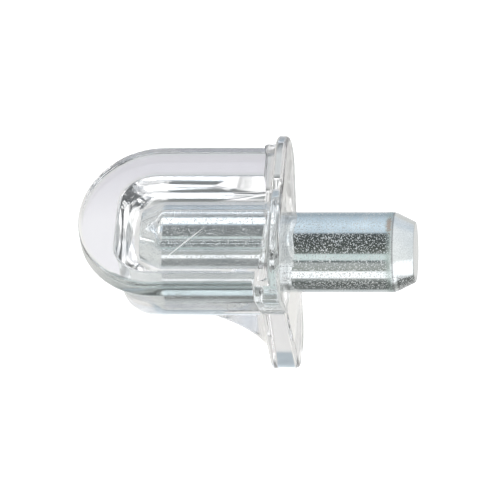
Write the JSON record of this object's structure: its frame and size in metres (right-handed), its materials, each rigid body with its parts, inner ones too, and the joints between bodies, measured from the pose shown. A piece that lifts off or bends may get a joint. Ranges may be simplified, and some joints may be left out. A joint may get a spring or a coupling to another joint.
{
  "type": "shelf support pin",
  "caption": "Clear moulded plastic shelf support head with a flat round-nosed platform, wall flange and gusset, on a plain steel pin that plugs into a cabinet side panel.",
  "frame": {"origin": "on the pin's axis, in the flange's back face that stands against the cabinet side", "axes": "+X along the pin out of the head towards its free tip, +Z square to the platform, towards the shelf, +Y across the platform"},
  "size_m": [0.0208, 0.0118, 0.016],
  "materials": {
    "clear_plastic": "clear, water-white, glossy",
    "zinc_steel": "bright zinc plate, faintly blue, finely pitted"
  },
  "bodies": {
    "root": {"clear_head": "clear_plastic", "steel_pin": "zinc_steel"}
  },
  "joints": []
}
